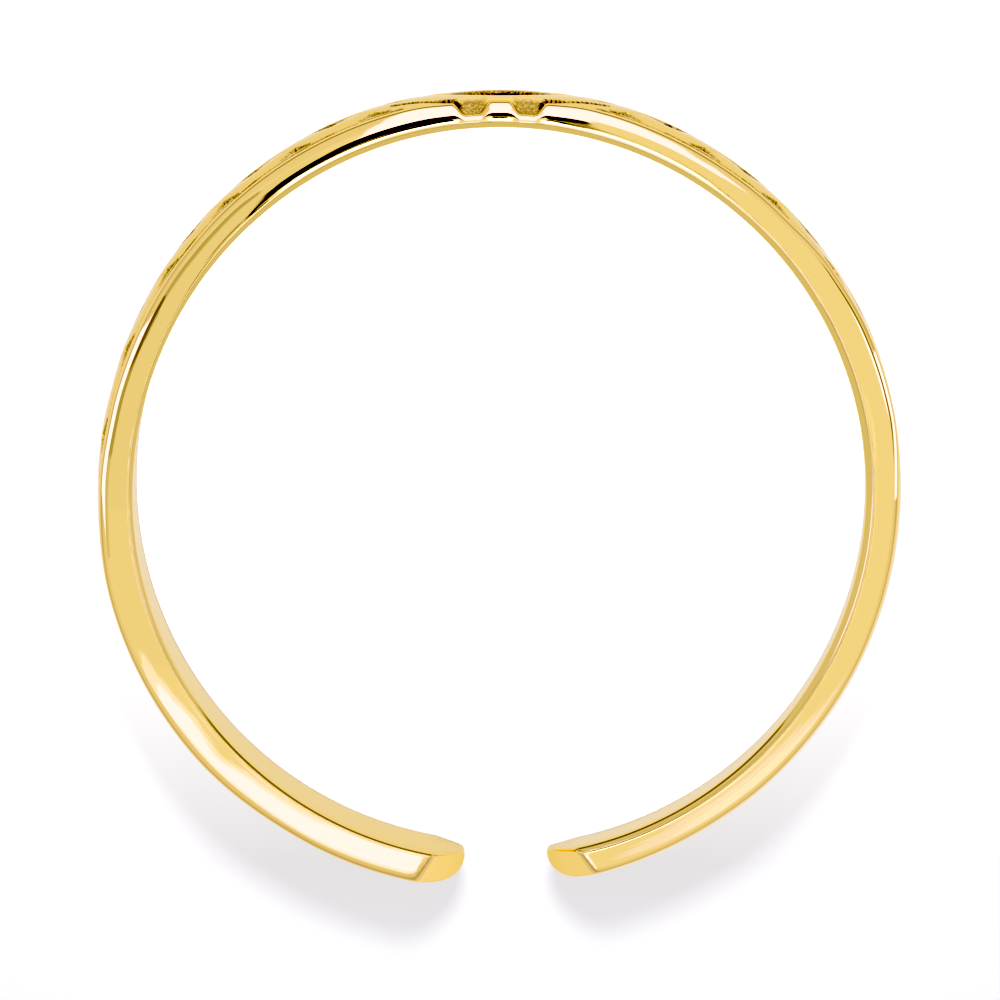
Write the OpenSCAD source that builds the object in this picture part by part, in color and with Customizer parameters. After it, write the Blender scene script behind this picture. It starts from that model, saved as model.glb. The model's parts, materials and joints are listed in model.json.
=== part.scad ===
// Open toe ring: one springy polished band with a braid of two strands cast in its front half.
// The ring lies on its side. Its axis is +Z and its lower edge rests on z = 0.
// The middle of the braid is at +Y and the gap between the two ends is at -Y.
// Angles round the ring are measured from +Y, clockwise as seen from above.

/* [Band] */
// Inside diameter, where the toe goes
inside_d = 14.2; // [12.5:0.1:18]
// Width of the band, along the toe
band_w = 3; // [2.6:0.1:4]
// Thickness of the metal at the crown of the outer face
crown_t = 0.7; // [0.65:0.05:1.1]
// Rise of the outer face from its edges to its crown
dome_rise = 0.15; // [0.06:0.01:0.2]
// Rounding of the two inner edges, so that the ring slides on
inner_round = 0.15; // [0.06:0.01:0.22]

/* [Ends] */
// Width of the gap between the two ends
gap_w = 1.75; // [0.5:0.05:3.5]
// Rounding of the corners of each end
end_round = 0.7; // [0.2:0.05:1]

/* [Rims] */
// Plain rim outside the fine groove on each side
rim_w = 0.2; // [0.14:0.01:0.3]
// Width of the fine groove beside each rim
groove_w = 0.08; // [0.05:0.01:0.14]
// Depth of the braid's recesses below the crown
recess_deep = 0.16; // [0.12:0.01:0.2]

/* [Braid] */
// Crossings of the strands on each side of the middle eye
crossings = 7; // [3:1:7]
// Distance along the outer face from the first crossing to the second
first_pitch = 0.9; // [0.8:0.01:1.1]
// Distance along the outer face from each later crossing to the next
pitch = 1.73; // [1.5:0.01:1.8]
// Width of a strand beside an eye
strand_w = 0.82; // [0.7:0.01:0.95]
// Smooth metal between the tips of two eyes
tip_gap = 0.42; // [0.3:0.01:0.6]
// Width of the two strands where they cross
crossing_w = 1.15; // [0.9:0.01:1.4]
// Length of a side recess, where it meets the groove
side_l = 1; // [0.8:0.01:1.04]

/* [Middle] */
// Distance from the middle of the ring to its first crossing
middle_reach = 1.59; // [1.4:0.01:1.8]
// Width of the open eye in the middle of the braid
middle_eye_w = 1.1; // [0.8:0.01:1.3]
// Radius of each notch that cuts through the rim
notch_r = 0.3; // [0.22:0.01:0.36]
// Distance of each notch from the middle of the ring
notch_off = 0.56; // [0.48:0.01:0.62]
// Distance of a notch's centre in from the edge
notch_in = 0.09; // [0:0.01:0.15]
// Thickness of the metal left under a notch
notch_floor_t = 0.27; // [0.2:0.01:0.35]
// Length of the slim recess that runs from each notch
arm_l = 1.35; // [0.9:0.01:1.5]
// Width of the slim recess at its middle
arm_w = 0.24; // [0.14:0.01:0.32]

/* [Hidden] */
$fn = 96;
// Room that a cutting shape has past the metal
spare = 1;
inner_r = inside_d / 2;
crown_r = inner_r + crown_t;
mid_z = band_w / 2;
recess_r = crown_r - recess_deep;
dome_r = (pow(mid_z, 2) + pow(dome_rise, 2)) / (2 * dome_rise);
gap_angle = 2 * asin(gap_w / 2 / (inner_r + crown_t / 2));
groove_v = mid_z - rim_w - groove_w / 2;
braid_v = mid_z - rim_w - groove_w;
eye_w = 2 * (braid_v - strand_w);
eye_l = pitch - tip_gap;
middle_eye_l = 2 * middle_reach - tip_gap;
side_h = groove_v - crossing_w / 2;
second_crossing = middle_reach + first_pitch;
groove_start = second_crossing - side_l / 2 - groove_w;
groove_end = second_crossing + (crossings - 2) * pitch + side_l / 2 + groove_w;
arm_start_v = mid_z - notch_in - notch_r;
arm_tilt = atan2(arm_start_v - eye_w / 2, arm_l);

// The angle that a length takes up on the outer face
function arc(length) = length / crown_r * 180 / PI;
// The place of crossing number k, counted from the middle eye
function crossing_at(k) = k == 0 ? middle_reach : second_crossing + (k - 1) * pitch;

// A pointed oval between two equal arcs, centred, along X
module eye_shape(length, width) {
    bow_r = (pow(length, 2) + pow(width, 2)) / (4 * width);
    intersection() {
        translate([0, width / 2 - bow_r]) circle(r = bow_r);
        translate([0, bow_r - width / 2]) circle(r = bow_r);
    }
}

// Cuts a flat shape inwards from outside the band, at a place along it and across it
module cut_at(along, across, from_r) {
    rotate([0, 0, -arc(along)])
        translate([0, from_r, mid_z + across])
        rotate([-90, 0, 0])
        linear_extrude(crown_r - from_r + spare)
        children();
}

module cross_section() {
    difference() {
        intersection() {
            translate([inner_r, 0]) square([crown_t, band_w]);
            translate([crown_r - dome_r, mid_z]) circle(r = dome_r);
        }
        for (z = [0, band_w])
            translate([inner_r, z])
            difference() {
                square(2 * inner_round, center = true);
                translate([inner_round, z > 0 ? -inner_round : inner_round])
                    circle(r = inner_round);
            }
    }
}

module plain_band() {
    rotate([0, 0, gap_angle / 2 - 90])
        rotate_extrude(angle = 360 - gap_angle)
        cross_section();
}

// What the rounded corners of one end leave out, seen from outside
module end_corners() {
    for (side = [-1, 1])
        mirror([0, side > 0 ? 1 : 0])
        translate([0, -mid_z])
        difference() {
            translate([-spare, -spare]) square(end_round + spare);
            translate([end_round, end_round]) circle(r = end_round);
        }
}

module round_ends() {
    for (side = [0, 1])
        mirror([side, 0, 0])
        rotate([0, 0, gap_angle / 2 - 90])
        translate([inner_r - spare, 0, mid_z])
        rotate([90, 0, 90])
        linear_extrude(crown_t + 2 * spare)
        end_corners();
}

// The eyes, between the two strands
module eyes() {
    cut_at(0, 0, inner_r) eye_shape(middle_eye_l, middle_eye_w);
    for (k = [0 : crossings - 2], side = [-1, 1])
        let (reach = crossing_at(k + 1) - crossing_at(k), length = reach - tip_gap)
            cut_at(side * (crossing_at(k) + reach / 2), 0, inner_r)
            eye_shape(length, eye_w * length / eye_l);
}

// The three-cornered recesses between a crossing and the groove on each side
module side_recesses() {
    for (k = [1 : crossings - 1], side = [-1, 1], edge = [-1, 1])
        cut_at(side * crossing_at(k), edge * groove_v, inner_r)
            polygon([[-side_l / 2, 0], [side_l / 2, 0], [0, edge * side_h]]);
}

// The slim recesses that run from the notches in towards the first crossings
module arms() {
    for (side = [-1, 1], edge = [-1, 1])
        cut_at(side * (notch_off + arm_l / 2), edge * (arm_start_v + eye_w / 2) / 2, inner_r)
            rotate(side * edge * arm_tilt)
            eye_shape(arm_l, arm_w);
}

// The fine grooves beside the rims, along all the side recesses
module grooves() {
    for (side = [0, 1], edge = [-1, 1])
        mirror([side, 0, 0])
        rotate([0, 0, 90 - arc(groove_end)])
        rotate_extrude(angle = arc(groove_end - groove_start))
        translate([recess_r, mid_z + edge * groove_v - groove_w / 2])
        square([crown_r - recess_r + spare, groove_w]);
}

// The scallops that cut through the rims beside the middle
module notches() {
    for (side = [-1, 1], edge = [-1, 1])
        cut_at(side * notch_off, edge * (mid_z - notch_in), inner_r + notch_floor_t)
            circle(r = notch_r);
}

module band() {
    color([0.93, 0.76, 0.38])
        difference() {
            plain_band();
            round_ends();
            difference() {
                union() {
                    eyes();
                    side_recesses();
                    arms();
                }
                translate([0, 0, -spare]) cylinder(r = recess_r, h = band_w + 2 * spare);
            }
            grooves();
            notches();
        }
}

band();
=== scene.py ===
import json
import math
from collections import namedtuple

import bpy
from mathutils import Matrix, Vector


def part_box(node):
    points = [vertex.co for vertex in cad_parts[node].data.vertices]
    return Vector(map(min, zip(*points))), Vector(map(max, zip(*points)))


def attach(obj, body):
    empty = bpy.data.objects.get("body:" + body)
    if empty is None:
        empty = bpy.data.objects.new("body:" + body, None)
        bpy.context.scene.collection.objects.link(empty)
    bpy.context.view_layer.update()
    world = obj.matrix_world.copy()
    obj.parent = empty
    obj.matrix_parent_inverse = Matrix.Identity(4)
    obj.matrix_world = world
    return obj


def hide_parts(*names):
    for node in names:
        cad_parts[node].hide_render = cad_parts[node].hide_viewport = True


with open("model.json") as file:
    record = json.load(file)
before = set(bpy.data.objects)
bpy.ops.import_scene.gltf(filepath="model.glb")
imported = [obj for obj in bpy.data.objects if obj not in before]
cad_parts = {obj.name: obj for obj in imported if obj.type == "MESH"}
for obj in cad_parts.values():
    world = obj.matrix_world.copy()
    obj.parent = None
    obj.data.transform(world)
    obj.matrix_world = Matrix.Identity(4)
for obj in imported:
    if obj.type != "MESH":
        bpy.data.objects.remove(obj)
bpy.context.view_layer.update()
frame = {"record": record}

# The gold. Yellow gold, cast and then polished bright, with fine lines left by the polishing.
# The floors of the recesses kept the grain of the casting, and painted shade darkens them. Depths are in
# millimetres.
MM = 0.001
polished_colour = (1.0, 0.786, 0.4, 1)
recess_shade_colour = (0.12, 0.075, 0.04, 1)
edge_tint = (0.9, 0.85, 0.62, 1)
shade_patch_scale = 21000
thinnest_shade = 0.35
polished_roughness, worn_roughness = 0.02, 0.04
wear_scale = 900
recess_roughness = 0.25
inside_roughness = 0.1
inside_share, face_share = 0.004, 0.02
grain_depth = 0.02
grain_scale = 26000
line_depth = 0.0016
line_depth_on_faces = 0.3
lines_across, lines_along = 22.0, 0.012
scratch_depth = 0.0003
scratches_across, scratches_along = 30.0, 9.0
gold = bpy.data.materials.new("polished_gold")
gold.use_nodes = True
nodes, links = gold.node_tree.nodes, gold.node_tree.links
shader = nodes["Principled BSDF"]
shader.inputs["Metallic"].default_value = 1
shader.inputs["Specular Tint"].default_value = edge_tint
place = nodes.new("ShaderNodeTexCoord")


def point_reading(name):
    node = nodes.new("ShaderNodeAttribute")
    node.attribute_name = name
    return node.outputs["Fac"]


def speckle(scale, vector=None, detail=2.0):
    noise = nodes.new("ShaderNodeTexNoise")
    noise.inputs["Scale"].default_value = scale
    noise.inputs["Detail"].default_value = detail
    links.new(vector or place.outputs["Object"], noise.inputs["Vector"])
    return noise.outputs["Fac"]


def spread(value, low, high, to_low, to_high):
    """Maps a value from one range to another."""
    node = nodes.new("ShaderNodeMapRange")
    links.new(value, node.inputs["Value"])
    for name, number in (("From Min", low), ("From Max", high), ("To Min", to_low), ("To Max", to_high)):
        node.inputs[name].default_value = number
    return node.outputs["Result"]


def combine(operation, one, other):
    node = nodes.new("ShaderNodeMath")
    node.operation = operation
    links.new(one, node.inputs[0])
    links.new(other, node.inputs[1])
    return node.outputs[0]


in_recess = point_reading("recess")
lengthwise = nodes.new("ShaderNodeCombineXYZ")
links.new(point_reading("round_section"), lengthwise.inputs["X"])
links.new(spread(point_reading("along"), 0.0, 1.0, 0.0, lines_along), lengthwise.inputs["Y"])
polish_lines = speckle(lines_across, lengthwise.outputs[0])
# Painted shade: the recesses and notch walls are darkened towards the dark recess colour, in patches.
shade_patches = spread(speckle(shade_patch_scale, detail=3.0), 0.38, 0.54, thinnest_shade, 1.0)
painted_recess_shade = combine("MULTIPLY", in_recess, shade_patches)
shaded_tone = nodes.new("ShaderNodeMix")
shaded_tone.data_type = "RGBA"
shaded_tone.inputs["A"].default_value = polished_colour
shaded_tone.inputs["B"].default_value = recess_shade_colour
links.new(painted_recess_shade, shaded_tone.inputs["Factor"])
links.new(shaded_tone.outputs["Result"], shader.inputs["Base Color"])
worn = spread(speckle(wear_scale), 0.35, 0.65, polished_roughness, worn_roughness)
inside = spread(point_reading("share"), 0.0, inside_share, inside_roughness, 0.0)
blunt = combine("ADD", spread(in_recess, 0.0, 1.0, 0.0, recess_roughness), inside)
links.new(combine("ADD", worn, blunt), shader.inputs["Roughness"])
lines_bump = nodes.new("ShaderNodeBump")
lines_bump.inputs["Distance"].default_value = line_depth * MM
on_faces = spread(point_reading("share"), 0.0, face_share, 1.0, line_depth_on_faces)
links.new(combine("MULTIPLY", polish_lines, on_faces), lines_bump.inputs["Height"])
scratches = nodes.new("ShaderNodeCombineXYZ")
links.new(spread(point_reading("round_section"), 0.0, 1.0, 0.0, scratches_across), scratches.inputs["X"])
links.new(spread(point_reading("along"), 0.0, 1.0, 0.0, scratches_along), scratches.inputs["Y"])
scratch_bump = nodes.new("ShaderNodeBump")
scratch_bump.inputs["Distance"].default_value = scratch_depth * MM
links.new(speckle(1.0, scratches.outputs[0], detail=3.0), scratch_bump.inputs["Height"])
links.new(lines_bump.outputs[0], scratch_bump.inputs["Normal"])
grain_bump = nodes.new("ShaderNodeBump")
grain_bump.inputs["Distance"].default_value = grain_depth * MM
links.new(combine("MULTIPLY", speckle(grain_scale), in_recess), grain_bump.inputs["Height"])
links.new(scratch_bump.outputs[0], grain_bump.inputs["Normal"])
links.new(grain_bump.outputs[0], shader.inputs["Normal"])

# The band. One strip of gold, bent into an open ring with its axis along +Z.
# Its outer face is domed and its edge faces are almost flat, with a narrow bevel outside each.
# It was polished by hand, so its edges vary a little, and bending it left a slight twist at the ends.
lowest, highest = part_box("band")
crown_r = highest.x / MM
half_width = (highest.z - lowest.z) / 2 / MM
wall_r = frame["record"]["mounts"][0]["dims"]["r_mm"]
corner = 0.03
middle_sink = 0.1
middle_sink_reach = 13
left_twist = math.radians(1.5)
right_twist = math.radians(1.9)
twist_start, twist_full = 60, 130
left_end = math.radians(180 - 5.5)
right_end = math.radians(180 - 7.3)
outer_turn_end = 82
bevel_bend = 3
face_steps = (2, 9, 4, 3)
outer_steps, inner_steps = 6, 8
outer_columns = 64
cap_share = 0.9

# How the polishing changed the edges, at angles round the ring from the middle of the braid.
# Tilts of the edge face are in degrees, positive towards the toe.
Polish = namedtuple("Polish", ["angle", "inner_round", "face_top", "inner_tilt", "outer_tilt", "bevel_tilt",
                               "outer_round", "dome_rise", "crown_gain"])
polishing = [
    Polish(-180, 0.05, 7.59, -1.5, -6, 9, 0.035, 0.16, 0.0),
    Polish(-150, 0.06, 7.63, -1.5, -6, 9, 0.035, 0.16, 0.03),
    Polish(-130, 0.07, 7.69, -0.5, -5, 8, 0.04, 0.16, 0.08),
    Polish(-105, 0.09, 7.70, 3, -3, 8, 0.04, 0.14, 0.05),
    Polish(-90, 0.09, 7.64, 3, -3, 11, 0.045, 0.12, 0.02),
    Polish(-78, 0.09, 7.59, 3, -3, 11, 0.045, 0.11, 0.01),
    Polish(-64, 0.09, 7.56, 3, -3, 11, 0.045, 0.12, 0.0),
    Polish(-45, 0.11, 7.56, 6, -5, 9, 0.035, 0.15, 0.0),
    Polish(-30, 0.12, 7.56, 11, -9, 10, 0.035, 0.16, 0.0),
    Polish(0, 0.12, 7.57, 12, -10, 11, 0.035, 0.16, 0.0),
    Polish(30, 0.12, 7.56, 11, -9, 10, 0.035, 0.16, 0.0),
    Polish(45, 0.15, 7.58, 4, -3, 9, 0.035, 0.16, 0.0),
    Polish(56, 0.16, 7.67, 3, -3, 12, 0.035, 0.1, 0.0),
    Polish(66, 0.17, 7.71, 3, -3, 14, 0.03, 0.06, 0.0),
    Polish(78, 0.17, 7.71, 3, -3, 14, 0.03, 0.06, 0.0),
    Polish(90, 0.18, 7.64, 2, -3, 13, 0.05, 0.1, 0.0),
    Polish(100, 0.18, 7.63, 1, -4, 10, 0.045, 0.14, 0.0),
    Polish(112, 0.17, 7.63, 0, -4, 9, 0.035, 0.16, 0.0),
    Polish(135, 0.15, 7.60, -3, -5, 9, 0.035, 0.16, -0.02),
    Polish(150, 0.14, 7.57, -3.4, -5, 9, 0.035, 0.16, -0.03),
    Polish(180, 0.14, 7.60, -3.4, -5, 9, 0.035, 0.16, -0.03),
]

# The notches, scooped out of both rims beside the middle of the braid. Each has a wide rounded lip
# towards the edge face, and its floor rises from there to the braid.
notch_angle = 4.15
notch_bottom = 1.0
notch_reach = 3.0
notch_top = 7.3
notch_lip = 0.03
notch_lip_tilt = 2
notch_lip_end = 9
notch_round = 0.02
inner_strip = 0.045
notch_rise = 0.3
notch_scoop = 1.3
notch_blend = 0.04


def smooth_step(low, high, value):
    t = min(max((value - low) / (high - low), 0), 1)
    return t * t * (3 - 2 * t)


def polish_at(angle):
    for one, other in zip(polishing, polishing[1:]):
        if angle <= other.angle:
            break
    t = smooth_step(one.angle, other.angle, angle)
    return Polish(*(a + (b - a) * t for a, b in zip(one, other)))


def quarter(reach, depth, near_end):
    """How far a rounded end falls in, at a distance from the tip."""
    if near_end >= reach:
        return 0
    return depth * (1 - math.sqrt(1 - (1 - near_end / reach) ** 2))


def rounding(width, tilt, last_turn, steps):
    """A rounded corner that starts at a tilt, as steps of (distance in, distance along)."""
    full_turn = 1 - math.sin(tilt)
    turns = [tilt + (last_turn - tilt) * k / steps for k in range(1, steps + 1)]
    return [(width * (math.cos(tilt) - math.cos(turn)) / full_turn,
             width * (math.sin(turn) - math.sin(tilt)) / full_turn) for turn in turns]


def between(one, other, share):
    return one + (other - one) * share


def rim_radius(polish):
    return max(crown_r - polish.dome_rise, polish.face_top + 2 * corner + polish.outer_round)


def notch_share(angle):
    """How far a notch cuts in at this angle, from 0 to 1."""
    return 1 - smooth_step(notch_bottom, notch_reach, abs(abs(angle) - notch_angle))


def edge_outline(angle):
    """One edge of the cross-section, from the outer face round to the inner wall.
    Each point is (distance in from the edge, radius, share of the relief)."""
    polish = polish_at(angle)
    cut = notch_share(angle)
    face_low = wall_r + polish.inner_round
    face_top = between(polish.face_top, notch_top, cut)
    strip_top = face_low + inner_strip
    turn = (polish.outer_tilt - polish.inner_tilt) / (polish.face_top - corner - face_low)
    outer_round = between(polish.outer_round, notch_round, cut)
    bevel_top = between(rim_radius(polish) - polish.outer_round, notch_top + 2 * corner + notch_lip, cut)
    last_tilt = between(polish.bevel_tilt + bevel_bend, notch_lip_end, cut)
    tilts = [(face_low, polish.inner_tilt),
             (strip_top, polish.inner_tilt + turn * inner_strip),
             (face_top - corner, between(polish.outer_tilt, -notch_lip_tilt, cut)),
             (face_top + corner, -between(polish.bevel_tilt, notch_lip_tilt + 1, cut)),
             (bevel_top, -last_tilt)]
    face = [(0.0, face_low)]
    for (low, low_tilt), (high, high_tilt), steps in zip(tilts, tilts[1:], face_steps):
        for k in range(1, steps + 1):
            middle_tilt = low_tilt + (high_tilt - low_tilt) * (k - 0.5) / steps
            inset = face[-1][0] - math.tan(math.radians(middle_tilt)) * (high - low) / steps
            face.append((inset, low + (high - low) * k / steps))
    most = min(inset for inset, r in face)
    face = [(inset - most, r) for inset, r in face]
    inset, top = face[-1]
    outer = rounding(outer_round, math.radians(last_tilt), math.radians(outer_turn_end), outer_steps)
    face += [(inset + down, top + out) for down, out in outer]
    inset = face[0][0]
    inner_tilt = math.radians(max(polish.inner_tilt, 0))
    inner = rounding(polish.inner_round, inner_tilt, math.radians(90), inner_steps)
    points = face[::-1] + [(inset + down, face_low - towards_toe) for down, towards_toe in inner]
    rim = face[-1][1]
    return [(inset, r, smooth_step(face_low, rim, r)) for inset, r in points]


# The tips are rounded from all sides: a bevel starts on each edge face, further from the tip on the
# outside, and the outer face falls towards the inner wall.
end_reach = 1.15
bevel_start = 0.62
bevel_lean = 0.3
bevel_slope = 1.5
bevel_round = 0.05
tip_reach = 0.3
tip_share = 0.4
fall_reach = 0.64
fall_depth = 0.53
end_inner_round = 0.1


def half_near_end(out_share, near_end):
    """Half the width near an end, as a share of the full half width."""
    past = bevel_start + bevel_lean * out_share - near_end
    cut = bevel_slope * (past + math.sqrt(past ** 2 + bevel_round ** 2)) / 2
    if near_end >= end_reach:
        cut = 0
    return (1 - cut / half_width) * (1 - quarter(tip_reach, tip_share, near_end))


def lesser(one, other, blend_width):
    """The lesser of two heights, with a rounded change from one to the other."""
    near = max(blend_width - abs(one - other), 0)
    return min(one, other) - near ** 2 / (4 * blend_width)


def section(along, near_end):
    """The closed loop of points round the band, as (across, radius, share, depth of a notch)."""
    angle = math.degrees(along / crown_r)
    polish = polish_at(angle)
    cut = notch_share(angle)
    edge = edge_outline(angle)
    face_inset, rim = edge[0][:2]
    full_rim = rim_radius(polish)
    crown = crown_r + polish.crown_gain
    dome = crown - full_rim - middle_sink * math.exp(-((angle / middle_sink_reach) ** 2))
    flat = half_width - face_inset
    loop = []
    for k in range(1, outer_columns):
        across = -flat + 2 * flat * k / outer_columns
        domed = full_rim + dome * (1 - (across / flat) ** 2)
        r = domed
        if cut:
            inwards = flat - abs(across)
            floor = rim + notch_rise * inwards + notch_scoop * inwards ** 3
            r = lesser(domed, floor, notch_blend * cut)
        loop.append((across, r, 1.0, domed - r))
    loop += [(half_width - inset, r, share, 0.0) for inset, r, share in edge]
    wall = half_width - edge[-1][0]
    loop += [(wall * t, wall_r, 0.0, 0.0) for t in (0.5, 0, -0.5)]
    loop += [(inset - half_width, r, share, 0.0) for inset, r, share in reversed(edge)]
    raised = quarter(end_inner_round, end_inner_round, near_end)
    lowered = quarter(fall_reach, fall_depth, near_end)
    squeeze = 1 - (raised + lowered) / (crown - wall_r)
    twist = left_twist * smooth_step(twist_start, twist_full, -angle)
    twist -= right_twist * smooth_step(twist_start, twist_full, angle)
    middle_r = (crown_r + wall_r) / 2
    turned = []
    for across, r, share, scooped in loop:
        across *= half_near_end((r - wall_r) / (crown - wall_r), near_end)
        out = wall_r + raised + (r - wall_r) * squeeze - middle_r
        turned.append((across - twist * out, middle_r + out + twist * across, share, scooped))
    return turned


def places_along():
    """Places of the cross-sections, from the left end to the right end, with the distance to the end."""
    middle_end, braid_end = 3.2, 12.0
    middle_step, braid_step, plain_step, end_steps = 0.035, 0.055, 0.15, 26
    halves = []
    for end_angle in (left_end, right_end):
        length = end_angle * crown_r
        places = []
        for start, stop, step in ((0, middle_end, middle_step), (middle_end, braid_end, braid_step),
                                  (braid_end, length - end_reach, plain_step)):
            count = round((stop - start) / step)
            places += [(start + (stop - start) * k / count, end_reach) for k in range(count)]
        for k in range(end_steps + 1):
            near_end = end_reach * (1 - math.sin(math.pi / 2 * k / end_steps))
            places.append((length - near_end, near_end))
        halves.append(places)
    left = [(-along, near_end) for along, near_end in reversed(halves[0][1:])]
    return left + halves[1]


def on_ring(along, across, r):
    turn = along / crown_r
    return Vector((r * math.sin(turn), r * math.cos(turn), across + half_width)) * MM


points, faces, loops = [], [], []
readings = {"along": [], "across": [], "share": [], "scooped": [], "round_section": []}
for along, near_end in places_along():
    loop = section(along, near_end)
    loops.append(range(len(points), len(points) + len(loop)))
    travelled = 0
    for k, (across, r, share, scooped) in enumerate(loop):
        if k:
            travelled += math.dist(loop[k - 1][:2], (across, r))
        points.append(on_ring(along, across, r))
        for name, value in zip(readings, (along, across, share, scooped, travelled)):
            readings[name].append(value)
for one, other in zip(loops, loops[1:]):
    count = len(one)
    for k in range(count):
        after = (k + 1) % count
        faces.append((one[k], one[after], other[after], other[k]))
for loop, outwards in ((loops[0], -1), (loops[-1], 1)):
    centre = sum((points[k] for k in loop), Vector()) / len(loop)
    inner_loop = range(len(points), len(points) + len(loop))
    for k in loop:
        points.append(centre + (points[k] - centre) * cap_share)
        for values in readings.values():
            values.append(values[k])
    count = len(loop)
    for k in range(count):
        after = (k + 1) % count
        quad = (loop[k], loop[after], inner_loop[after], inner_loop[k])
        faces.append(quad if outwards > 0 else quad[::-1])
    faces.append(tuple(inner_loop) if outwards > 0 else tuple(reversed(inner_loop)))

strip = bpy.data.meshes.new("gold_band")
strip.from_pydata(points, [], faces)
for name, values in readings.items():
    strip.attributes.new(name, "FLOAT", "POINT").data.foreach_set("value", values)
strip.shade_smooth()
band = bpy.data.objects.new("gold_band", strip)
bpy.context.collection.objects.link(band)

# The braid. Two strands cross over each other along the front half, with recesses between them.
# The recesses, the two fine grooves beside the rims and the four notches by the middle are cast in.
# Everything is pressed into the outer face by one node tree, which moves each point straight in.
relief_sizes = {
    "Middle Reach": 1.59,
    "Middle Swing": 1.1,
    "First Pitch": 0.9,
    "First Swing": 0.5,
    "Pitch": 1.73,
    "Swing": 0.81,
    "Strand Half Width": 0.41,
    "Strand Bow": 0.01,
    "Recess Depth": 0.16,
    "Under Dip": 0.03,
    "Leaf Start": 0.8,
    "Leaf End": 2.15,
    "Leaf Fall": 0.05,
    "Arm Start": 0.7,
    "Arm End": 2.2,
    "Arm Near": 1.34,
    "Arm Far": 0.58,
    "Arm Width": 0.17,
    "Arm Depth": 0.12,
    "Border Line": 1.12,
    "Border Fall": 0.015,
    "Groove Start": 1.93,
    "Groove Line": 1.23,
    "Groove Depth": 0.12,
    "Rim Line": 1.3,
    "Braid End": 11.9,
}
# How far each form's wall or painted-shade mark spreads from its line, and where along an arm it begins and
# ends.
recess_wall_in, recess_wall_out = 0.03, 0.06
recess_mark_in = 0.05
dip_reach = 0.14
leaf_start_wall, leaf_end_wall, leaf_rise = 0.05, 0.08, 1.0
arm_begins, arm_ends = 0.1, 0.93
arm_floor, arm_wall = 0.35, 0.65
arm_mark_floor, arm_mark_wall = 0.6, 0.8
groove_run_in = 0.06
groove_wall, groove_mark = 0.01, 0.03
border_wall = 0.03
rim_wall_in, rim_wall_out = 0.02, 0.01
braid_fades, braid_gone = 0.2, 0.1
# The painted shade thins past each crossing and is thin in the notches, where the scoop is deep enough.
thins_from, thin_by, thinning = -0.12, 0.2, 0.5
scoop_marked, scoop_deep, notch_shade = 0.02, 0.1, 0.5
outer_face_starts, outer_face_full = 0.97, 0.999
relief = bpy.data.node_groups.new("braid_relief", "GeometryNodeTree")
relief.interface.new_socket("Geometry", in_out="INPUT", socket_type="NodeSocketGeometry")
relief.interface.new_socket("Geometry", in_out="OUTPUT", socket_type="NodeSocketGeometry")
relief_ids = {}
for name, size in relief_sizes.items():
    item = relief.interface.new_socket(name, in_out="INPUT", socket_type="NodeSocketFloat")
    item.default_value = size
    relief_ids[name] = item.identifier
relief_in = relief.nodes.new("NodeGroupInput")
relief_out = relief.nodes.new("NodeGroupOutput")


class Reading:
    """A number read at each point of the band. Plain arithmetic on it adds Math nodes."""

    def __init__(self, socket):
        self.socket = socket

    def __add__(self, other):
        return reckon("ADD", self, other)

    def __sub__(self, other):
        return reckon("SUBTRACT", self, other)

    def __rsub__(self, other):
        return reckon("SUBTRACT", other, self)

    def __mul__(self, other):
        return reckon("MULTIPLY", self, other)

    def __truediv__(self, other):
        return reckon("DIVIDE", self, other)

    def __neg__(self):
        return reckon("MULTIPLY", self, -1.0)

    __rmul__ = __mul__


def reckon(operation, *values):
    node = relief.nodes.new("ShaderNodeMath")
    node.operation = operation
    for k, value in enumerate(values):
        if isinstance(value, Reading):
            relief.links.new(value.socket, node.inputs[k])
        else:
            node.inputs[k].default_value = value
    return Reading(node.outputs[0])


def ramp(low, high, value):
    """0 below low, 1 above high and a smooth step between."""
    node = relief.nodes.new("ShaderNodeMapRange")
    node.interpolation_type = "SMOOTHSTEP"
    for k, part in enumerate((value, low, high)):
        if isinstance(part, Reading):
            relief.links.new(part.socket, node.inputs[k])
        else:
            node.inputs[k].default_value = part
    return Reading(node.outputs[0])


def blend(one, other, share):
    return one + (other - one) * share


def size(name):
    return Reading(relief_in.outputs[name])


def point_value(name):
    node = relief.nodes.new("GeometryNodeInputNamedAttribute")
    node.data_type = "FLOAT"
    node.inputs["Name"].default_value = name
    return Reading(node.outputs["Attribute"])


along, across, share = point_value("along"), point_value("across"), point_value("share")
from_middle = reckon("ABSOLUTE", along)
from_centre = reckon("ABSOLUTE", across)

# Each strand swings from side to side; the other one swings the opposite way.
# The first swing past the middle is a short one.
second_crossing = size("Middle Reach") + size("First Pitch")
past_first = reckon("GREATER_THAN", from_middle, size("Middle Reach"))
past_second = reckon("GREATER_THAN", from_middle, second_crossing)
middle_turn = from_middle / size("Middle Reach") * (math.pi / 2)
first_turn = (from_middle - size("Middle Reach")) / size("First Pitch") * math.pi
outer_turn = (from_middle - second_crossing) / size("Pitch") * math.pi
strand_line = blend(size("Middle Swing") * reckon("COSINE", middle_turn),
                    -(size("First Swing") * reckon("SINE", first_turn)), past_first)
strand_line = blend(strand_line, size("Swing") * reckon("SINE", outer_turn), past_second)
strand_slope = blend(
    -(size("Middle Swing") / size("Middle Reach") * (math.pi / 2) * reckon("SINE", middle_turn)),
    -(size("First Swing") / size("First Pitch") * math.pi * reckon("COSINE", first_turn)), past_first)
strand_slope = blend(strand_slope,
                     size("Swing") / size("Pitch") * math.pi * reckon("COSINE", outer_turn), past_second)
upright = reckon("INVERSE_SQRT", strand_slope * strand_slope + 1.0)
to_first = reckon("ABSOLUTE", across - strand_line) * upright
to_second = reckon("ABSOLUTE", across + strand_line) * upright

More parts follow.
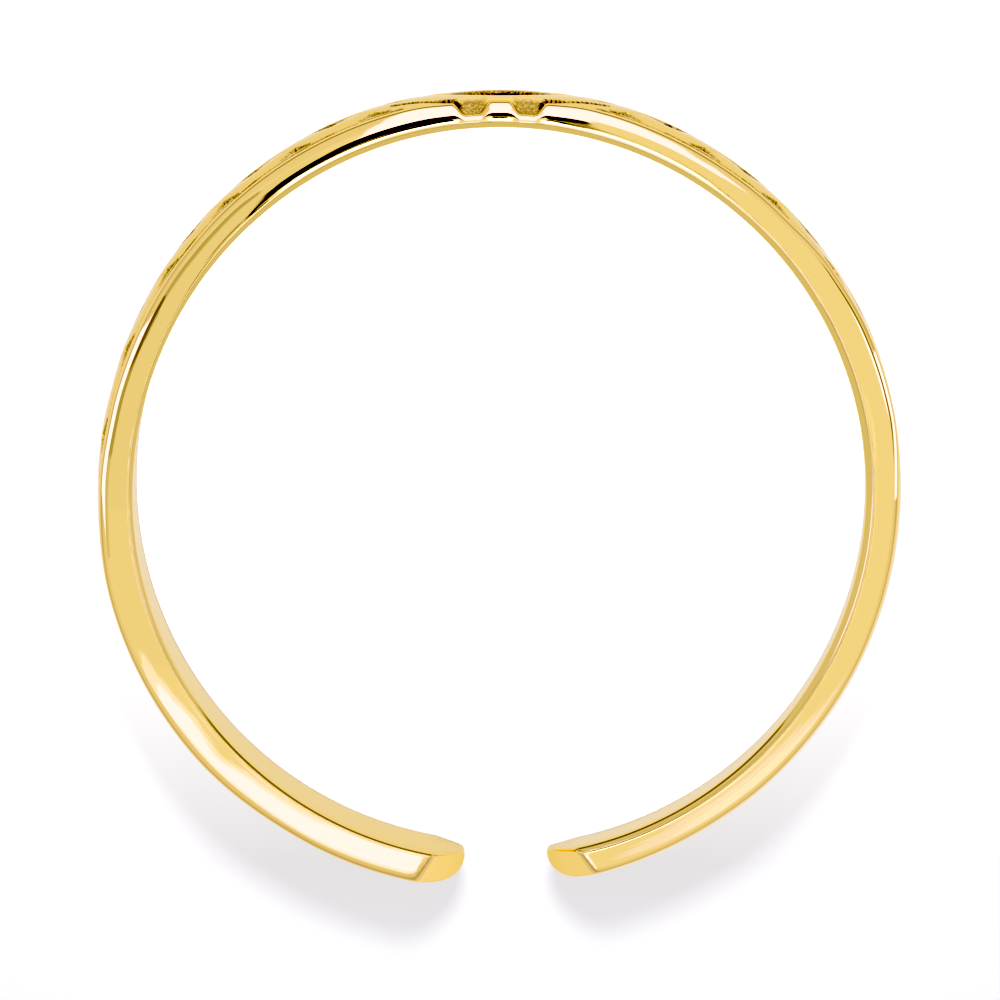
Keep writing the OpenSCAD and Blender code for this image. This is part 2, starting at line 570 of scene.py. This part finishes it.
# At each crossing the strand on top changes, and a fine step shows where the other goes under.
later_crossing = reckon("ROUND", (from_middle - second_crossing) / size("Pitch")) + 1.0
past_eye = reckon("GREATER_THAN", from_middle, size("Middle Reach") + size("First Pitch") * 0.5)
second_on_top = reckon("FLOORED_MODULO", later_crossing * past_eye, 2.0)
to_top = blend(to_first, to_second, second_on_top)
to_under = blend(to_second, to_first, second_on_top)
half_strand = size("Strand Half Width")


def strand_height(distance):
    bow = distance / half_strand
    bowed = -(size("Strand Bow") * bow * bow)
    return bowed - size("Recess Depth") * ramp(half_strand - recess_wall_in, half_strand + recess_wall_out,
                                               distance)


def opened(distance):
    """1 where a point lies outside a strand."""
    return ramp(half_strand - recess_mark_in, half_strand, distance)


open_share = reckon("MINIMUM", opened(to_first), opened(to_second))
under_dip = size("Under Dip") * (1.0 - ramp(half_strand, half_strand + dip_reach, to_top))
height = reckon("MAXIMUM", strand_height(to_top), strand_height(to_under) - under_dip)
height = reckon("MAXIMUM", height, -size("Recess Depth"))

# A smooth leaf of metal fills each corner between the first crossing and the rim, and a slim arm
# of the recess runs over it from the notch.
outside = reckon("GREATER_THAN", from_centre, reckon("ABSOLUTE", strand_line))
leaf = outside * ramp(size("Leaf Start") - leaf_start_wall, size("Leaf Start"), from_middle)
leaf = leaf * (1.0 - ramp(size("Leaf End"), size("Leaf End") + leaf_end_wall, from_middle))
risen = ramp(size("Leaf Start"), size("Leaf Start") + leaf_rise, from_middle)
leaf_height = -size("Leaf Fall") * (1.0 - risen)
height = blend(height, reckon("MAXIMUM", height, leaf_height), leaf)
open_share = open_share * (1.0 - leaf)
arm_reach = (from_middle - size("Arm Start")) / (size("Arm End") - size("Arm Start"))
arm_line = blend(size("Arm Near"), size("Arm Far"), arm_reach)
to_arm = reckon("ABSOLUTE", from_centre - arm_line) / size("Arm Width")
arm = ramp(0.0, arm_begins, arm_reach) * (1.0 - ramp(arm_ends, 1.0, arm_reach))
height = height - size("Arm Depth") * arm * (1.0 - ramp(arm_floor, arm_wall, to_arm))
arm_mark = arm * (1.0 - ramp(arm_mark_floor, arm_mark_wall, to_arm))
open_share = reckon("MAXIMUM", open_share, arm_mark)

# The rims stay at full height, but for a slight fall beside the middle. A fine groove runs inside
# each of them, and then a narrow border.
grooved = ramp(size("Groove Start") - groove_run_in, size("Groove Start") + groove_run_in, from_middle)
border = ramp(size("Border Line") - border_wall, size("Border Line"), from_centre) * grooved
height = blend(height, reckon("MAXIMUM", height, -size("Border Fall")), border)
open_share = open_share * (1.0 - border)
groove = ramp(size("Groove Line") - groove_wall, size("Groove Line") + groove_wall, from_centre) * grooved
height = blend(height, reckon("MINIMUM", height, -size("Groove Depth")), groove)
marked = ramp(size("Groove Line") - groove_mark, size("Groove Line") - groove_wall, from_centre) * grooved
open_share = reckon("MAXIMUM", open_share, marked)
rim = ramp(size("Rim Line") - rim_wall_in, size("Rim Line") + rim_wall_out, from_centre)
height = blend(height, leaf_height, rim)
braided = 1.0 - ramp(size("Braid End") - braid_fades, size("Braid End") + braid_gone, from_middle)
height = height * braided
open_share = open_share * (1.0 - rim) * braided

# The painted shade is darkest before each crossing, counted from the middle: in the far half of each eye
# and in the near end of each side recess.
past_crossing = (from_middle - second_crossing) / size("Pitch")
past_crossing = past_crossing - reckon("ROUND", past_crossing)
thinned = ramp(thins_from, thin_by, past_crossing)
open_share = open_share * (1.0 - thinning * thinned * grooved * (1.0 - groove))
in_notch = ramp(scoop_marked, scoop_deep, point_value("scooped"))
open_share = reckon("MAXIMUM", open_share, notch_shade * in_notch)
# The stored recess value is how much painted shade darkens the gold at each point.
recess = open_share * ramp(outer_face_starts, outer_face_full, share)

position = relief.nodes.new("GeometryNodeInputPosition")
flat = relief.nodes.new("ShaderNodeVectorMath")
flat.operation = "MULTIPLY"
flat.inputs[1].default_value = (1, 1, 0)
relief.links.new(position.outputs[0], flat.inputs[0])
outwards = relief.nodes.new("ShaderNodeVectorMath")
outwards.operation = "NORMALIZE"
relief.links.new(flat.outputs[0], outwards.inputs[0])
shift = relief.nodes.new("ShaderNodeVectorMath")
shift.operation = "SCALE"
relief.links.new(outwards.outputs[0], shift.inputs[0])
relief.links.new((height * share * MM).socket, shift.inputs["Scale"])
press = relief.nodes.new("GeometryNodeSetPosition")
relief.links.new(relief_in.outputs["Geometry"], press.inputs["Geometry"])
relief.links.new(shift.outputs[0], press.inputs["Offset"])
mark = relief.nodes.new("GeometryNodeStoreNamedAttribute")
mark.data_type = "FLOAT"
mark.domain = "POINT"
mark.inputs["Name"].default_value = "recess"
relief.links.new(press.outputs[0], mark.inputs["Geometry"])
relief.links.new(recess.socket, mark.inputs["Value"])
realize = relief.nodes.new("GeometryNodeRealizeInstances")
relief.links.new(mark.outputs[0], realize.inputs[0])
coat = relief.nodes.new("GeometryNodeSetMaterial")
coat.inputs["Material"].default_value = gold
relief.links.new(realize.outputs[0], coat.inputs["Geometry"])
relief.links.new(coat.outputs[0], relief_out.inputs[0])

pressing = band.modifiers.new("braid", "NODES")
pressing.node_group = relief
for name, value in relief_sizes.items():
    pressing[relief_ids[name]] = value
graph = bpy.context.evaluated_depsgraph_get()
finished = bpy.data.meshes.new_from_object(band.evaluated_get(graph))
band.modifiers.clear()
band.data = finished

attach(band, "root")
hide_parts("band")

# The floor. A plain white sheet, which the camera sees but the polished gold doesn't mirror.
# It glows of itself, as painted light, least in front of the gap, and a lamp above the middle leaves one
# soft shadow outside the two ends.
floor_reach = 0.6
floor_grey = 0.3
front_y, back_y = -7.5, -2
front_glow, back_glow = 0.62, 0.95
lamp_width = 9
lamp_y, lamp_z = 10, 35
lamp_power = 0.014
sheet_white = (1, 1, 1.03, 1)
floor_mesh = bpy.data.meshes.new("floor")
floor_corners = [(x * floor_reach, y * floor_reach, 0) for x, y in ((-1, -1), (1, -1), (1, 1), (-1, 1))]
floor_mesh.from_pydata(floor_corners, [], [(0, 1, 2, 3)])
floor = bpy.data.objects.new("floor", floor_mesh)
bpy.context.collection.objects.link(floor)
white = bpy.data.materials.new("pale_floor")
white.use_nodes = True
sheet = white.node_tree.nodes["Principled BSDF"]
sheet.inputs["Base Color"].default_value = (floor_grey, floor_grey, floor_grey, 1)
sheet.inputs["Roughness"].default_value = 1
sheet.inputs["Specular IOR Level"].default_value = 0
sheet.inputs["Emission Color"].default_value = sheet_white
floor_place = white.node_tree.nodes.new("ShaderNodeTexCoord")
floor_parts = white.node_tree.nodes.new("ShaderNodeSeparateXYZ")
# Painted light: the floor's own glow, dimmer towards the front of the gap.
painted_floor_glow = white.node_tree.nodes.new("ShaderNodeMapRange")
for name, number in (("From Min", front_y * MM), ("From Max", back_y * MM),
                     ("To Min", front_glow), ("To Max", back_glow)):
    painted_floor_glow.inputs[name].default_value = number
white.node_tree.links.new(floor_place.outputs["Object"], floor_parts.inputs[0])
white.node_tree.links.new(floor_parts.outputs["Y"], painted_floor_glow.inputs["Value"])
white.node_tree.links.new(painted_floor_glow.outputs["Result"], sheet.inputs["Emission Strength"])
floor_mesh.materials.append(white)
floor.visible_glossy = False

soft_lamp = bpy.data.lights.new("soft_lamp", "AREA")
soft_lamp.shape = "DISK"
soft_lamp.size = lamp_width * MM
soft_lamp.energy = lamp_power
lamp = bpy.data.objects.new("soft_lamp", soft_lamp)
lamp.location = (0, lamp_y * MM, lamp_z * MM)
lamp.visible_glossy = False
bpy.context.collection.objects.link(lamp)

# The studio. A pale tent round the ring, a little brighter on the right, with a dimmer ring high up
# in it and a dark opening in front of the braid.
# The picture keeps a firm contrast, as a catalogue photograph does.
darkest_shown = 0.2
tent_foot = (1, 0.96, 0.98, 1)
tent_top = (0.9, 0.9, 0.9, 1)
tent_green = 0.97
left_strength, right_strength = 0.93, 1.02
opening_strength = 0.35
opening_foot, opening_head, opening_side = (0.08, 0.2), (0.68, 0.76), (0.45, 0.65)
scene = bpy.context.scene
scene.view_settings.view_transform = "Standard"
scene.view_settings.use_curve_mapping = True
scene.view_settings.curve_mapping.black_level = (darkest_shown, darkest_shown, darkest_shown)
scene.view_settings.curve_mapping.update()

world = bpy.data.worlds.new("studio")
scene.world = world
world.use_nodes = True
tent, threads = world.node_tree.nodes, world.node_tree.links
way = tent.new("ShaderNodeTexCoord")
parts = tent.new("ShaderNodeSeparateXYZ")
threads.new(way.outputs["Generated"], parts.inputs[0])
fall = tent.new("ShaderNodeValToRGB")
rise = tent.new("ShaderNodeMapRange")
rise.inputs["From Min"].default_value = -1
threads.new(parts.outputs["Z"], rise.inputs["Value"])
threads.new(rise.outputs["Result"], fall.inputs["Fac"])
first_stop, last_stop = fall.color_ramp.elements
first_stop.position, first_stop.color = 0.0, tent_foot
last_stop.position, last_stop.color = 1.0, tent_top
TentRing = namedtuple("TentRing", ["place", "shade", "blue"])
tent_rings = [
    TentRing(0.5, 1.0, 0.98),
    TentRing(0.56, 0.87, 1.04),
    TentRing(0.8, 0.83, 1.04),
    TentRing(0.86, 0.66, 1.05),
    TentRing(0.92, 0.6, 1.05),
    TentRing(0.955, 0.87, 1.0),
]
for ring in tent_rings:
    stop = fall.color_ramp.elements.new(ring.place)
    stop.color = (ring.shade, ring.shade * tent_green, ring.shade * ring.blue, 1)
threads.new(fall.outputs["Color"], tent["Background"].inputs["Color"])
side = tent.new("ShaderNodeMath")
side.operation = "ADD"
threads.new(parts.outputs["X"], side.inputs[0])
threads.new(parts.outputs["Y"], side.inputs[1])


def tent_range(value, low, high, to_low, to_high):
    node = tent.new("ShaderNodeMapRange")
    threads.new(value, node.inputs["Value"])
    for name, number in (("From Min", low), ("From Max", high), ("To Min", to_low), ("To Max", to_high)):
        node.inputs[name].default_value = number
    return node.outputs["Result"]


def product(one, other):
    node = tent.new("ShaderNodeMath")
    node.operation = "MULTIPLY"
    threads.new(one, node.inputs[0])
    threads.new(other, node.inputs[1])
    return node.outputs[0]


bright = tent_range(side.outputs[0], -1.4, 1.4, left_strength, right_strength)
above = tent_range(parts.outputs["Z"], *opening_foot, 0, 1)
below = tent_range(parts.outputs["Z"], *opening_head, 1, 0)
ahead = tent_range(parts.outputs["Y"], *opening_side, 0, 1)
opening = tent_range(product(product(above, below), ahead), 0, 1, 1, opening_strength)
threads.new(product(bright, opening), tent["Background"].inputs["Strength"])

# The cards. Sheets round the ring, which the polished gold mirrors: white ones for its bright
# stripes and dark ones for its sharp black line.
# Those that lie behind others are a little higher.
card_height = 40
elevation = math.radians(5.0)
mirror_lean = math.tan(elevation)


def card(name, outline, height, strength, colour=(1, 1, 1)):
    """A card beside or above the ring. Its corners are (angle round the ring, reach from its middle),
    and each one's own height after these where the card isn't level."""
    corners = []
    for angle, reach, *own_height in outline:
        up = own_height[0] if own_height else height
        turn = math.radians(angle)
        corners.append(Vector((reach * math.sin(turn), reach * math.cos(turn) - up * mirror_lean,
                               2 * half_width + up)) * MM)
    mesh = bpy.data.meshes.new(name)
    mesh.from_pydata(corners, [], [tuple(range(len(corners)))])
    sheet = bpy.data.objects.new(name, mesh)
    bpy.context.collection.objects.link(sheet)
    finish = bpy.data.materials.new(name)
    finish.use_nodes = True
    tree = finish.node_tree
    tree.nodes.clear()
    glow = tree.nodes.new("ShaderNodeEmission")
    glow.inputs["Color"].default_value = (*colour, 1)
    glow.inputs["Strength"].default_value = strength
    output = tree.nodes.new("ShaderNodeOutputMaterial")
    tree.links.new(glow.outputs[0], output.inputs[0])
    mesh.materials.append(finish)
    sheet.visible_camera = False
    sheet.visible_shadow = False
    sheet.visible_diffuse = False


cream = (1.0, 0.97, 1.7)
warm = (1.0, 1.02, 1.35)
card("soft_overhead", [(k * 15, 19) for k in range(24)], card_height + 6, 0.92)
card("left_overhead",
     [(-28, 2), (-28, 17), (-65, 18), (-92, 18), (-92, 2)],
     card_height + 5, 0.87)
card("left_overhead_end",
     [(-92, 2), (-92, 18), (-118, 18), (-108, 2)],
     card_height + 5, 0.895)
card("dark_flag",
     [(-38, 7.0), (-31, 8.0), (-20, 9.3), (0, 9.7), (13.4, 9.7), (0, 0)],
     card_height, 0.07)
card("dark_flag_end",
     [(0, 0), (142, 0.6), (150, 1.4), (162, 2.6), (180, 3.2), (193.4, 3.2)],
     card_height, 0.07)
card("dim_middle",
     [(-41, 0.4), (-41, 2.6), (-60, 2.4), (-78, 2.0), (-78, 0.4)],
     card_height, 0.45)
card("white_strip",
     [(138, 1.8), (138, 6.8), (160, 8.2), (180, 8.4), (-160, 8.2), (-140, 6.8), (-140, 2.6), (180, 2.6)],
     card_height + 1, 2.0, warm)
card("right_line",
     [(-140, 3.2), (-140, 4.7), (-108, 4.5), (-75, 3.9), (-75, 3.0), (-108, 3.2)],
     card_height + 1, 1.25, cream)
card("left_line",
     [(75, 2.5), (75, 5.2), (135, 5.2), (135, 2.5)],
     card_height + 1, 1.06)
card("cream_top",
     [(-22, 9.6), (-20, 20), (-14, 30), (0, 32), (14, 30), (32, 22), (38, 16), (14, 14), (13.6, 9.6)],
     card_height + 2, 1.25, cream)
card("left_flag",
     [(-59, 13), (-62, 11.4), (-66, 11.4), (-71, 13), (-71, 16), (-66, 17), (-62, 17), (-59, 16)],
     card_height + 1, 0.3)
card("left_flag_back",
     [(-60, 12), (-84, 12.4), (-84, 17), (-60, 17)],
     card_height + 2, 0.55)
card("left_flag_end",
     [(-84, 12.8), (-99, 14), (-99, 16.5), (-84, 17)],
     card_height + 2, 0.72)
card("left_flag_front",
     [(-38, 13), (-60, 12), (-60, 17), (-38, 16)],
     card_height + 2, 0.6)
card("left_strip",
     [(-62, 18), (-96, 18), (-90, 34), (-66, 34)],
     card_height + 3, 1.3, cream)
card("right_strip",
     [(61, 13.5), (68, 12.4), (75, 12.4), (80, 13.5), (75, 15.8), (68, 15.8)],
     card_height + 2, 1.35, cream)
card("right_flag",
     [(50, 18), (60, 16.2), (82, 16.2), (88, 18), (82, 23), (60, 23)],
     card_height + 2, 0.3)
card("right_glow",
     [(70, 25), (92, 25), (92, 40), (70, 40)],
     card_height + 3, 1.35, cream)
card("low_left",
     [(-121, 15), (-124, 18), (-150, 20), (-176, 20), (-176, 13.4),
      (-158, 13.4), (-148, 14.4), (-139, 14.2), (-134, 16), (-127, 13.8)],
     card_height + 2, 1.25, cream)
card("low_left_glow",
     [(-115, 14), (-120, 18.8), (-150, 21.5), (-178, 21.5), (-178, 12.2),
      (-158, 12.3), (-148, 13.4), (-139, 13), (-134, 14.8), (-127, 12.8)],
     card_height + 3, 1.05, warm)
card("low_right",
     [(126, 13.2), (134, 11.6), (146, 11.6), (155, 12.8), (146, 14), (134, 14.4)],
     card_height + 2, 1.08, warm)
card("low_right_glow",
     [(118, 13.4), (130, 10.8), (150, 10.8), (164, 12.6), (150, 15), (130, 15.2)],
     card_height + 3, 0.98, warm)

# A rolled card inside the ring, so that its inner edges don't mirror each other. It's dark where
# those edges show a fine line, low down beside both ends of the band.
roll_reach = 4.6
roll_low, roll_fold, roll_high = -2.6, 0, 3
plain_roll = 0.75
RollPart = namedtuple("RollPart", ["start", "end", "lower", "upper"])
roll_parts = [
    RollPart(-177, -129, 0.28, 0.34),
    RollPart(-129, -85, plain_roll, plain_roll),
    RollPart(-85, -40, plain_roll, plain_roll),
    RollPart(-40, 0, plain_roll, plain_roll),
    RollPart(0, 40, plain_roll, plain_roll),
    RollPart(40, 85, plain_roll, plain_roll),
    RollPart(85, 132, plain_roll, plain_roll),
    RollPart(132, 177, 0.26, plain_roll),
]
for k, part in enumerate(roll_parts):
    for half, low, high, strength in (("lower", roll_low, roll_fold, part.lower),
                                      ("upper", roll_fold, roll_high, part.upper)):
        roll_outline = [(part.start, roll_reach, low), (part.end, roll_reach, low),
                        (part.end, roll_reach, high), (part.start, roll_reach, high)]
        card(f"roll_{half}_{k}", roll_outline, 0, strength)

# The camera, almost along the ring's axis and a little above it, as the photograph was taken.
distance = 333
picture_width = 19.35
centre_down = 0.116
sensor_width = 36
nearest_shown, farthest_shown = 0.01, 5
camera_data = bpy.data.cameras.new("camera")
camera_data.sensor_width = sensor_width
camera_data.lens = sensor_width * distance / picture_width
camera = bpy.data.objects.new("camera", camera_data)
bpy.context.collection.objects.link(camera)
target = Vector((0, -centre_down, 2 * half_width)) * MM
back = Vector((0, math.sin(elevation), math.cos(elevation)))
camera.location = target + back * distance * MM
camera.rotation_euler = (-elevation, 0, 0)
camera_data.clip_start = nearest_shown
camera_data.clip_end = farthest_shown
scene.camera = camera
